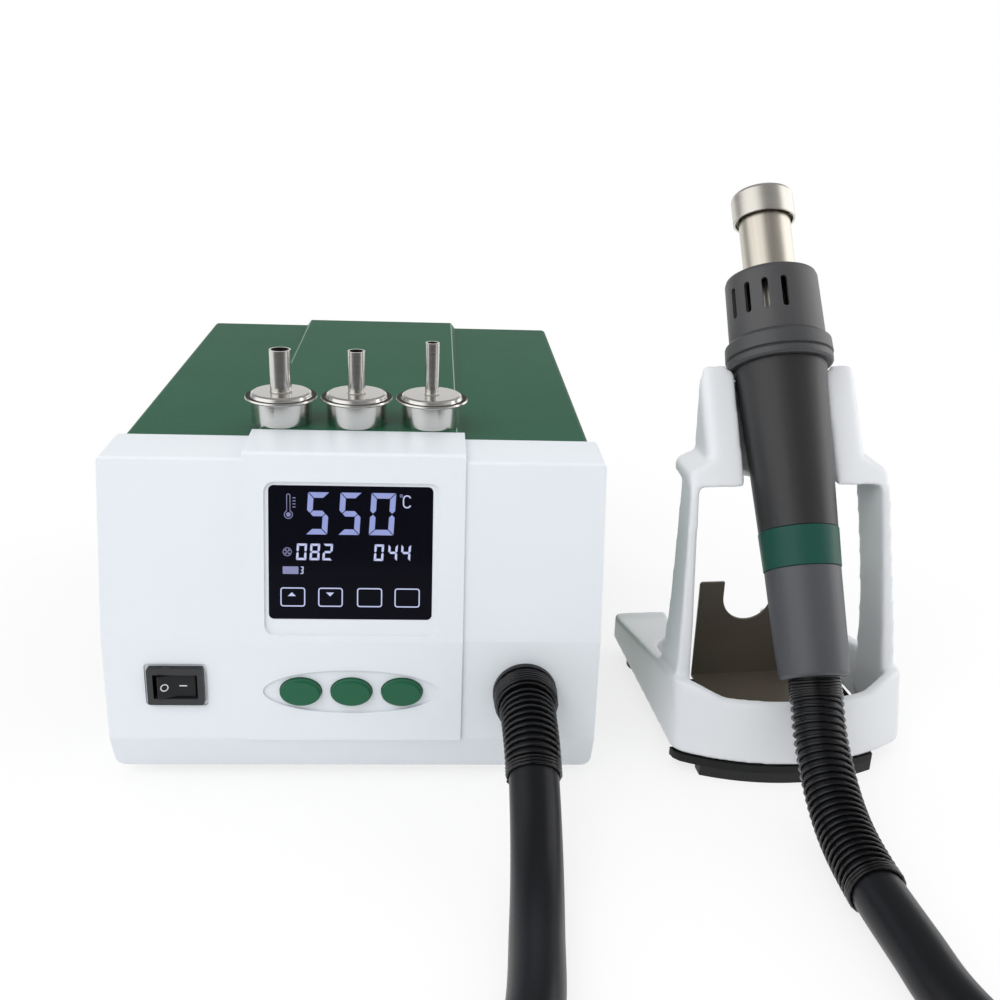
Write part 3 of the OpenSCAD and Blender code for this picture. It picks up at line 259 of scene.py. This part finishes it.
# ---- modelling helpers ----
def pick(obj):
    """Only that object selected and active."""
    bpy.ops.object.select_all(action="DESELECT")
    obj.select_set(True)
    bpy.context.view_layer.objects.active = obj


def dress(obj, material):
    """That material alone on the object."""
    obj.data.materials.clear()
    obj.data.materials.append(material)


def finish(obj, name, material, body, stands_for=(), angle=SMOOTH_ANGLE):
    """Names and paints a piece, smooths it, ties it to its body and hides the nodes it stands for."""
    obj.name = name
    obj.data.name = name
    dress(obj, material)
    pick(obj)
    bpy.ops.object.shade_smooth_by_angle(angle=math.radians(angle))
    if stands_for:
        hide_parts(*stands_for)
    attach(obj, body)


def modify(obj, kind, **settings):
    """Adds a modifier with its settings and applies it."""
    pick(obj)
    made = obj.modifiers.new(kind.title(), kind)
    for name, value in settings.items():
        setattr(made, name, value)
    bpy.ops.object.modifier_apply(modifier=made.name)


def copy_of(node):
    """A copy of a CAD node with its loose triangles joined and its flat faces made whole."""
    made = nodes[node].copy()
    made.data = nodes[node].data.copy()
    made.parent = None
    for key in list(made.keys()):
        if key.startswith("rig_"):
            del made[key]
    bpy.context.scene.collection.objects.link(made)
    pick(made)
    bpy.ops.object.mode_set(mode="EDIT")
    bpy.ops.mesh.select_all(action="SELECT")
    bpy.ops.mesh.remove_doubles(threshold=0.000004)
    bpy.ops.mesh.dissolve_limited(angle_limit=math.radians(0.5))
    bpy.ops.object.mode_set(mode="OBJECT")
    return made


def softened(node, name, material, body, edge_mm, segments=2):
    """A CAD node with the small rounding that a tool or a press leaves on its edges."""
    made = copy_of(node)
    modify(made, "BEVEL", width=edge_mm / 1000, segments=segments, limit_method="ANGLE",
        angle_limit=math.radians(EDGE_ANGLE), use_clamp_overlap=True, harden_normals=False)
    finish(made, name, material, body, [node])
    modify(made, "WEIGHTED_NORMAL", keep_sharp=True, weight=100)
    return made


def paint(material, *names):
    """CAD nodes that keep their own mesh and get their finish."""
    for name in names:
        dress(nodes[name], material)


def to_mesh(name, curve, place=None):
    """A curve as a mesh object, in that frame if one is given."""
    made = bpy.data.objects.new(name, curve)
    bpy.context.scene.collection.objects.link(made)
    if place is not None:
        made.matrix_world = place
    pick(made)
    bpy.ops.object.convert(target="MESH")
    return bpy.context.object


def flat(name, loops, place, material, body):
    """Printed or lit marks: closed outlines in the frame's own millimetres, a hair thick."""
    half_thick, lift = 0.02, 0.03
    curve = bpy.data.curves.new(name, "CURVE")
    curve.dimensions = "2D"
    curve.fill_mode = "BOTH"
    curve.extrude = half_thick
    for loop in loops:
        line = curve.splines.new("POLY")
        line.points.add(len(loop) - 1)
        line.use_cyclic_u = True
        for point, p in zip(line.points, loop):
            point.co = (p[0], p[1], 0, 1)
    made = to_mesh(name, curve, place @ Matrix.Translation((0, 0, lift)))
    bpy.ops.object.transform_apply(location=True, rotation=True, scale=True)
    finish(made, name, material, body)


def arc(x, y, r, start=0, end=360, steps=32):
    """Points on a circle from one angle to another in degrees; less than a circle keeps both ends."""
    turns = [math.radians(start + (end - start) * k / steps) for k in range(steps + (end - start < 360))]
    return [(x + r * math.cos(a), y + r * math.sin(a)) for a in turns]


def loop_of(x, y, w, h, r):
    """A rectangle about a point with rounded corners."""
    made = []
    for sx, sy, start in ((1, 1, 0), (-1, 1, 90), (-1, -1, 180), (1, -1, 270)):
        made += arc(x + sx * (w / 2 - r), y + sy * (h / 2 - r), r, start, start + 90, 5)
    return made


# ---- the hose and its springs ----
HOSE_R = 9.25
WIRE = 1.3
# Points round one turn of a spring
TURN_POINTS = 20
# Steps between two points of the route, on the hose and on its springs
HOSE_STEPS, SPRING_STEPS = 6, 12
# Height of the hose's centreline where it lies on the bench
LYING = 9.55
down = (GUN.to_3x3() @ Vector((0, 0, -1))).normalized()
gun_end = BENCH.inverted() @ (GUN @ Vector((0, 0, 0)))
ROUTE = [Vector(p) for p in (
    (66.4, -16, 42.9), (66.8, -30, 41.6), (67.3, -43, 37.4), (67.5, -56, 30.4),
    (67.3, -74, 20), (66.5, -92, 12.9), (65, -112, LYING), (62.3, -142, LYING),
    (57, -168, LYING), (47, -200, LYING), (36, -234, LYING), (28, -270, LYING),
    (26, -308, LYING), (34, -346, LYING), (54, -380, LYING), (84, -404, LYING),
    (121, -414, LYING), (159, -408, LYING), (192, -388, LYING), (216, -358, LYING),
    (229, -322, LYING), (230, -284, LYING), (223, -246, LYING), (212, -210, LYING),
    (200, -174, LYING), (190.3, -143.5, LYING), (187, -121.6, 10.4), (183.6, -96, 11.4),
    (182.6, -79, 11.7), (182.2, -66, 12.8), (182, -54, 15.6), (181.9, -43, 20.2),
    (181.8, -32.5, 26.6), (181.8, -24, 33.6), tuple(gun_end + 8 * down), tuple(gun_end))]
# Spans of the route, from the station on, that its spring is wound on
STATION_SPANS = 3
# The point of the route just before the gun's spring starts
GUN_FROM = 26


def smooth_way(points, steps):
    """The smooth curve through the route's points, in millimetres."""
    last = len(points) - 1
    way = []
    for i in range(last):
        a, b, c, d = (points[max(0, min(last, k))] for k in (i - 1, i, i + 1, i + 2))
        for k in range(steps):
            t = k / steps
            way.append(0.5 * (2 * b + (c - a) * t + (2 * a - 5 * b + 4 * c - d) * t * t
                + (3 * b - a - 3 * c + d) * t * t * t))
    return way + [points[-1]]


def rope(name, way, radius, resolution, material):
    """A round rod along a way in millimetres, as a mesh in metres."""
    curve = bpy.data.curves.new(name, "CURVE")
    curve.dimensions = "3D"
    curve.bevel_depth = radius / 1000
    curve.bevel_resolution = resolution
    curve.use_fill_caps = True
    line = curve.splines.new("POLY")
    line.points.add(len(way) - 1)
    for point, p in zip(line.points, way):
        point.co = (*(BENCH @ p), 1)
    made = to_mesh(name, curve)
    dress(made, material)
    bpy.ops.object.shade_smooth_by_angle(angle=math.radians(ROUND_ANGLE))
    return made


def looked_up(table, share):
    """The value at a share of the length, straight between the table's rows."""
    for (s0, v0), (s1, v1) in zip(table, table[1:]):
        if share <= s1:
            return v0 + (v1 - v0) * (share - s0) / (s1 - s0)
    return table[-1][1]


def coil(way, radii, pitches, name):
    """A wire wound round a way: radius and pitch for each share of its length."""
    lengths = [0.0]
    for a, b in zip(way, way[1:]):
        lengths.append(lengths[-1] + (b - a).length)
    total = lengths[-1]
    turned, s, i, points = 0.0, WIRE, 0, []
    while s < total - WIRE:
        while lengths[i + 1] < s:
            i += 1
        part = (s - lengths[i]) / (lengths[i + 1] - lengths[i])
        centre = way[i].lerp(way[i + 1], part)
        heading = (way[i + 1] - way[i]).normalized()
        before = (way[i] - way[i - 1]).normalized() if i else heading
        heading = before.lerp(heading, 0.5 + 0.5 * part).normalized()
        across = heading.cross(Vector((0, 0, 1))).normalized()
        above = across.cross(heading)
        r = looked_up(radii, s / total)
        points.append(centre + r * (math.cos(turned) * across + math.sin(turned) * above))
        turned += 2 * math.pi / TURN_POINTS
        s += looked_up(pitches, s / total) / TURN_POINTS
    return rope(name, points, WIRE / 2, resolution=2, material=spring_lacquer)


way = smooth_way(ROUTE, HOSE_STEPS)
hose = rope("air_hose", way, HOSE_R, resolution=8, material=hose_rubber)
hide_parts("hose", "hose_end")

station_way = smooth_way(ROUTE[: STATION_SPANS + 2], SPRING_STEPS)[: STATION_SPANS * SPRING_STEPS + 1]
station_spring = coil(station_way, [(0, 12.2), (0.17, 11.6), (0.26, 10.1), (1, 9.85)],
    [(0, 1.3), (0.16, 1.3), (0.21, 2.5), (0.84, 2.5), (0.88, 1.3), (1, 1.3)], "station_spring")
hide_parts("station_guard")
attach(station_spring, "bench")

# the gun's spring ends a little way inside the tail
gun_way = smooth_way(ROUTE[GUN_FROM:], SPRING_STEPS)[SPRING_STEPS:] + [gun_end - 1.6 * down]
gun_spring = coil(gun_way, [(0, 9.9), (1, 9.9)],
    [(0, 1.35), (0.045, 1.35), (0.07, 3.25), (0.88, 3.25), (0.90, 1.35), (1, 1.35)], "gun_spring")
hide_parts("gun_guard")
for piece in (hose, gun_spring):
    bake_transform(piece)

# ---- station ----
# The ridge's folds, which get a painted highlight: how far below its top they reach, in metres, and how far their
# faces turn sideways
FOLD_DEPTH = 0.0007
FOLD_FACING = (0.2, 0.98)
# The spare nozzles' bores, painted dark as shade: the height that they start at, in metres, and how far their
# faces turn inwards
BORE_Z = 0.146
BORE_FACING = -0.0005
softened("front_panel", "panel_shell", white_abs, "bench", 0.5)
cover = softened("top_cover", "cover_shell", green_coat, "bench", 0.6)
# the faces on the ridge's folds take the lighter coat, a painted highlight
cover.data.materials.append(ridge_highlight_coat)
ridge_top = max(v.co.z for v in cover.data.vertices)
for face in cover.data.polygons:
    if face.center.z > ridge_top - FOLD_DEPTH and FOLD_FACING[0] < abs(face.normal.x) < FOLD_FACING[1]:
        face.material_index = 1
softened("rear_panel", "rear_plate", green_coat, "bench", 0.2)
softened("switch_body", "switch_frame", bezel_nylon, "bench", 0.35)
softened("power_rocker", "switch_rocker", rocker_nylon, "rocker", 0.3)
for i in (1, 2, 3):
    softened(f"channel_button_{i}", f"oval_button_{i}", green_abs, f"button_{i}", 0.5, segments=3)
softened("display_glass", "display_window", display_glass, "bench", 0.15)
paint(tray_zinc, "chassis_tray")
paint(pad_rubber, "rubber_feet", "holder_pads")
paint(screw_black, "case_screws", "holder_screws")
paint(blower_abs, "blower_housing", "blower_lid", "power_inlet")
paint(circuit_mask, "main_board", "button_board", "handle_board", "display_board")
paint(core_varnish, "transformer")
paint(duct_foil, "air_duct")
paint(motor_steel, "blower_motor")
paint(impeller_nylon, "blower_impeller")
paint(black_nylon, "hose_gland")
paint(spare_steel, "nozzle_posts", "cradle_magnet")
for size in ("large", "medium", "small"):
    nozzle = softened(f"spare_nozzle_{size}", f"nozzle_{size}", spare_steel, f"nozzle_{size}", 0.2)
    # the bores' inward faces get the near-black colour, painted shade
    nozzle.data.materials.append(bore_shade)
    middle = sum((v.co for v in nozzle.data.vertices), Vector()) / len(nozzle.data.vertices)
    for face in nozzle.data.polygons:
        outward = Vector((face.center.x - middle.x, face.center.y - middle.y, 0))
        if face.normal.dot(outward) < BORE_FACING and face.center.z > BORE_Z:
            face.material_index = 1

# ---- display ----
# The lit segments of each figure
LIT = {"0": "abcdef", "2": "abged", "3": "abgcd", "4": "fgbc", "5": "afgcd", "8": "abcdefg"}
# How far a figure leans for each millimetre of its height
SLANT = 0.06


def lcd(u, v):
    """A point on the glass, from shares of its width and height off its top left corner."""
    return GLASS_X + (u - 0.5) * GLASS_W, GLASS_Y + (0.5 - v) * GLASS_H


def digit(figure, u0, u1, v0, v1, t, gap):
    """The lit segments of one figure, each t wide; its box is given in shares of the glass."""
    (x0, y1), (x1, y0) = lcd(u0, v0), lcd(u1, v1)
    x1 -= SLANT * (y1 - y0)
    ym, h = (y0 + y1) / 2, t / 2
    bars = {
        "a": [(x0 + gap, y1), (x1 - gap, y1), (x1 - gap - t, y1 - t), (x0 + gap + t, y1 - t)],
        "d": [(x0 + gap, y0), (x0 + gap + t, y0 + t), (x1 - gap - t, y0 + t), (x1 - gap, y0)],
        "g": [(x0 + h + gap, ym), (x0 + t + gap, ym + h), (x1 - t - gap, ym + h), (x1 - h - gap, ym),
            (x1 - t - gap, ym - h), (x0 + t + gap, ym - h)],
    }
    sides = (("f", x0, 1, y1, -1), ("b", x1, -1, y1, -1), ("e", x0, 1, y0, 1), ("c", x1, -1, y0, 1))
    for name, x, sx, y, sy in sides:
        bars[name] = [(x, y + sy * gap), (x + sx * t, y + sy * (gap + t)), (x + sx * t, ym - sy * (h + gap)),
            (x + sx * h, ym - sy * gap), (x, ym - sy * (gap + h))]
    return [[(x + SLANT * (y - y0), y) for x, y in bars[name]] for name in LIT[figure]]


big, small, faint = [], [], []
for figure, u0, u1 in (("5", 0.225, 0.371), ("5", 0.421, 0.567), ("0", 0.609, 0.775)):
    big += digit(figure, u0, u1, v0=0.047, v1=0.361, t=2.1, gap=0.22)
# degree sign and C
x, y = lcd(0.806, 0.066)
faint += [arc(x, y, 0.6), arc(x, y, 0.32)]
x, y = lcd(0.841, 0.109)
small.append(arc(x, y + 0.9, 1.6, 20, 180, 10) + arc(x, y - 0.9, 1.6, 180, 340, 10)
    + arc(x, y - 0.9, 1.1, 340, 180, 10) + arc(x, y + 0.9, 1.1, 180, 20, 10))
for figure, u0, u1 in (("0", 0.166, 0.234), ("8", 0.248, 0.314), ("2", 0.326, 0.392),
    ("0", 0.640, 0.704), ("4", 0.725, 0.788), ("4", 0.804, 0.869)):
    small += digit(figure, u0, u1, v0=0.430, v1=0.554, t=0.85, gap=0.10)
small += digit("3", u0=0.190, u1=0.213, v0=0.603, v1=0.658, t=0.4, gap=0.05)
# thermometer: bulb and stem in outline, and its ticks
x, y = lcd(0.121, 0.215)
faint += [arc(x, y, 1.65, 115, 425, 24) + arc(x, y + 7.2, 0.75, 0, 180, 8),
    arc(x, y, 1.37, 112, 428, 24) + arc(x, y + 7.2, 0.47, 0, 180, 8)]
faint.append(arc(x, y, 0.85, 0, 360, 16))
faint += [loop_of(x + 2.1, y + 2.9 + 1.15 * k, 1.2, 0.3, 0.1) for k in range(4)]
# fan: a ring with four blades
x, y = lcd(0.113, 0.493)
faint += [arc(x, y, 1.68), arc(x, y, 1.42), arc(x, y, 0.28)]
for k in range(4):
    a = 90 * k + 20
    faint.append(arc(x, y, 0.42, a, a + 20, 4) + arc(x, y, 1.15, a + 50, a + 8, 6))
# blank tag beside the small figure
x, y = lcd(0.133, 0.631)
faint.append(loop_of(x, y, 5.9, 2.9, 0.3))
# outlines of the four keys, and the arrows on two of them
for u0, u1 in ((0.070, 0.222), (0.301, 0.452), (0.539, 0.694), (0.770, 0.926)):
    (x0, y1), (x1, y0) = lcd(u0, 0.761), lcd(u1, 0.906)
    x, y, w, h = (x0 + x1) / 2, (y0 + y1) / 2, x1 - x0, y1 - y0
    small += [loop_of(x, y, w, h, 1.1), loop_of(x, y, w - 0.9, h - 0.9, 0.7)]
for u, way_up in ((0.140, 1), (0.374, -1)):
    x, y = lcd(u, 0.812)
    small.append([(x - 1.5, y - 0.75 * way_up), (x + 1.5, y - 0.75 * way_up), (x, y + 0.75 * way_up)])
glass_face = SLOPE @ Matrix.Translation((0, 0, 0.1))
flat("lit_figures", big, glass_face, digit_glow, "bench")
flat("lit_marks", small, glass_face, small_glow, "bench")
flat("lit_symbols", faint, glass_face, faint_glow, "bench")

# ---- marks on the rocker ----
ROCKER = (lower_face(ROCKER_X, ROCKER_Z) @ Matrix.Translation((0, 0, ROCKER_PIN))
    @ Matrix.Rotation(ROCKER_TILT, 4, "Y"))


def rocker_face(x):
    """The frame on the rocker's face, at that distance along it from its pin."""
    height = ROCKER_END - (ROCKER_HALF - abs(x)) * math.tan(ROCKER_TILT)
    return (ROCKER @ Matrix.Translation((x, 0, height))
        @ Matrix.Rotation(math.copysign(ROCKER_TILT, -x), 4, "Y"))


flat("off_mark", [arc(0, 0, 1.55), arc(0, 0, 1.15)], rocker_face(-4.6), mark_ink, "rocker")
flat("on_mark", [loop_of(0, 0, 2.9, 0.45, 0.1)], rocker_face(2.4), mark_ink, "rocker")

# ---- gun ----
softened("tail_sleeve", "tail_shell", tail_nylon, "gun", 0.4)
softened("grip_band", "green_band", band_abs, "gun", 0.3)
softened("handle_body", "handle_shell", handle_nylon, "gun", 0.4)
softened("head_collar", "collar_ring", collar_nylon, "gun", 0.5)
softened("head_guard", "slotted_guard", head_nylon, "gun", 0.25)
softened("heater_tube", "heater_pipe", tube_steel, "gun", 0.15)
softened("gun_nozzle", "nozzle_ring", ring_steel, "gun_tip", 0.3)
paint(heater_ceramic, "heater_core")

# ---- holder ----
# its legs run into its base and arms in soft corners, which voxels and smoothing give in one go
holder = copy_of("holder_body")
modify(holder, "REMESH", mode="VOXEL", voxel_size=0.00085)
modify(holder, "SMOOTH", factor=0.5, iterations=22)
finish(holder, "holder_shell", holder_abs, "bench", ["holder_body"], angle=ROUND_ANGLE)
softened("holder_bracket", "notched_bracket", bracket_steel, "bench", 0.25)
softened("holder_plate", "bottom_plate", plate_coat, "bench", 0.3)


# ---- studio ----
def pale_rays(tree):
    """1 on the rays that show the white surroundings: the camera's, mirrored and clear ones."""
    ray = add(tree, "ShaderNodeLightPath")
    first = add(tree, "ShaderNodeMath", {"operation": "MAXIMUM"},
        {0: ray.outputs["Is Camera Ray"], 1: ray.outputs["Is Glossy Ray"]})
    both = add(tree, "ShaderNodeMath", {"operation": "MAXIMUM"},
        {0: first.outputs[0], 1: ray.outputs["Is Transmission Ray"]})
    return both.outputs[0]


def mixed(tree, share, a, b):
    """The value a where the share is 0 and b where it is 1."""
    return add(tree, "ShaderNodeMix", {}, {"Factor": share, VALUE_A: a, VALUE_B: b}).outputs[0]


def faded(tree, value, start, stop, low=0.0, high=1.0):
    """From low to high as the value goes from start to stop, with soft ends."""
    return add(tree, "ShaderNodeMapRange", {"interpolation_type": "SMOOTHSTEP"},
        {"Value": value, "From Min": start, "From Max": stop, "To Min": low, "To Max": high}).outputs["Result"]


def toward(tree, way, aim, inner, outer, within, beyond):
    """One value within so many degrees of a direction, another outside, and a soft edge between."""
    near = add(tree, "ShaderNodeVectorMath", {"operation": "DOT_PRODUCT"}, {0: way, 1: Vector(aim).normalized()})
    edge = faded(tree, near.outputs["Value"], math.cos(math.radians(outer)), math.cos(math.radians(inner)))
    return mixed(tree, edge, beyond, within)


def lay_floor():
    """A floor that keeps the object's shadow near it and is plain white farther off."""
    material, tree, shader, place = surface("pale floor", Roughness=0.8)
    shader.inputs["Base Color"].default_value = linear("f8f8f8")
    shader.inputs["Specular IOR Level"].default_value = 0.0
    far = add(tree, "ShaderNodeVectorMath", {"operation": "LENGTH"}, {0: place})
    white_share = faded(tree, far.outputs["Value"], start=0.15, stop=0.7, low=0.76, high=1.0)
    # in mirrored rays the floor is white too, and fades towards the camera and behind it
    ray = add(tree, "ShaderNodeLightPath")
    clear = mixed(tree, ray.outputs["Is Camera Ray"], pale_rays(tree), white_share)
    split = add(tree, "ShaderNodeSeparateXYZ", {}, {"Vector": place})
    mirrored = faded(tree, split.outputs["Y"], start=-0.44, stop=-0.28, low=0.12, high=1.0)
    level = mixed(tree, ray.outputs["Is Camera Ray"], mirrored, 1.0)
    white = add(tree, "ShaderNodeEmission", {}, {"Color": (1, 1, 1, 1), "Strength": level})
    both = add(tree, "ShaderNodeMixShader", {}, {0: clear, 1: shader.outputs[0], 2: white.outputs[0]})
    tree.links.new(both.outputs[0], tree.nodes["Material Output"].inputs["Surface"])
    bpy.ops.object.select_all(action="DESELECT")
    bpy.ops.mesh.primitive_plane_add(size=12)
    floor = bpy.context.object
    floor.name = "floor"
    floor.data.materials.append(material)


def hang_world():
    """White to the camera, brighter and darker patches in mirrored rays, and a plain room for the rest."""
    world = bpy.data.worlds.new("studio")
    bpy.context.scene.world = world
    world.use_nodes = True
    tree = world.node_tree
    back = tree.nodes["Background"]
    ray = add(tree, "ShaderNodeLightPath")
    way = add(tree, "ShaderNodeTexCoord").outputs["Generated"]
    # the dark side behind the camera, and a bright panel to its left
    front = toward(tree, way, (0, -1, 0), inner=8, outer=30, within=0.06, beyond=0.3)
    left = toward(tree, way, (-0.9, -0.35, 0.38), inner=22, outer=52, within=1.35, beyond=front)
    # the white backdrop, dimmer overhead, and a narrow bright strip in it to the right
    high = toward(tree, way, (0, 0, 1), inner=64, outer=80, within=0.38, beyond=0.95)
    backdrop = toward(tree, way, (0.75, 0.66, 0.12), inner=70, outer=92, within=high, beyond=left)
    rim = toward(tree, way, (0.84, 0.52, 0.1), inner=10, outer=24, within=1.6, beyond=backdrop)
    seen = mixed(tree, ray.outputs["Is Camera Ray"], rim, 1.0)
    room = toward(tree, way, (0.1, -0.98, 0.15), inner=20, outer=60, within=0.58, beyond=0.88)
    tree.links.new(mixed(tree, pale_rays(tree), room, seen), back.inputs["Strength"])
    back.inputs["Color"].default_value = (1, 1, 1, 1)


def set_lamps():
    """A soft lamp over the camera's left shoulder, and a weak one at the right that metals mirror."""
    for name, spot, aim, size, power, mirrored in (
        ("front lamp", (-0.88, -1.35, 1.6), (0, 0, 0.08), (1.6, 1.4), 18.5, False),
        ("side lamp", (1.5, 0.1, 0.7), (0.1, 0, 0.1), (0.7, 1.6), 5, True),
    ):
        bpy.ops.object.light_add(type="AREA", location=spot)
        lamp = bpy.context.object
        lamp.name = name
        lamp.visible_glossy = mirrored
        lamp.data.shape = "RECTANGLE"
        lamp.data.size, lamp.data.size_y = size
        lamp.data.energy = power
        lamp.rotation_euler = (Vector(aim) - Vector(spot)).to_track_quat("-Z", "Y").to_euler()


lay_floor()
hang_world()
set_lamps()
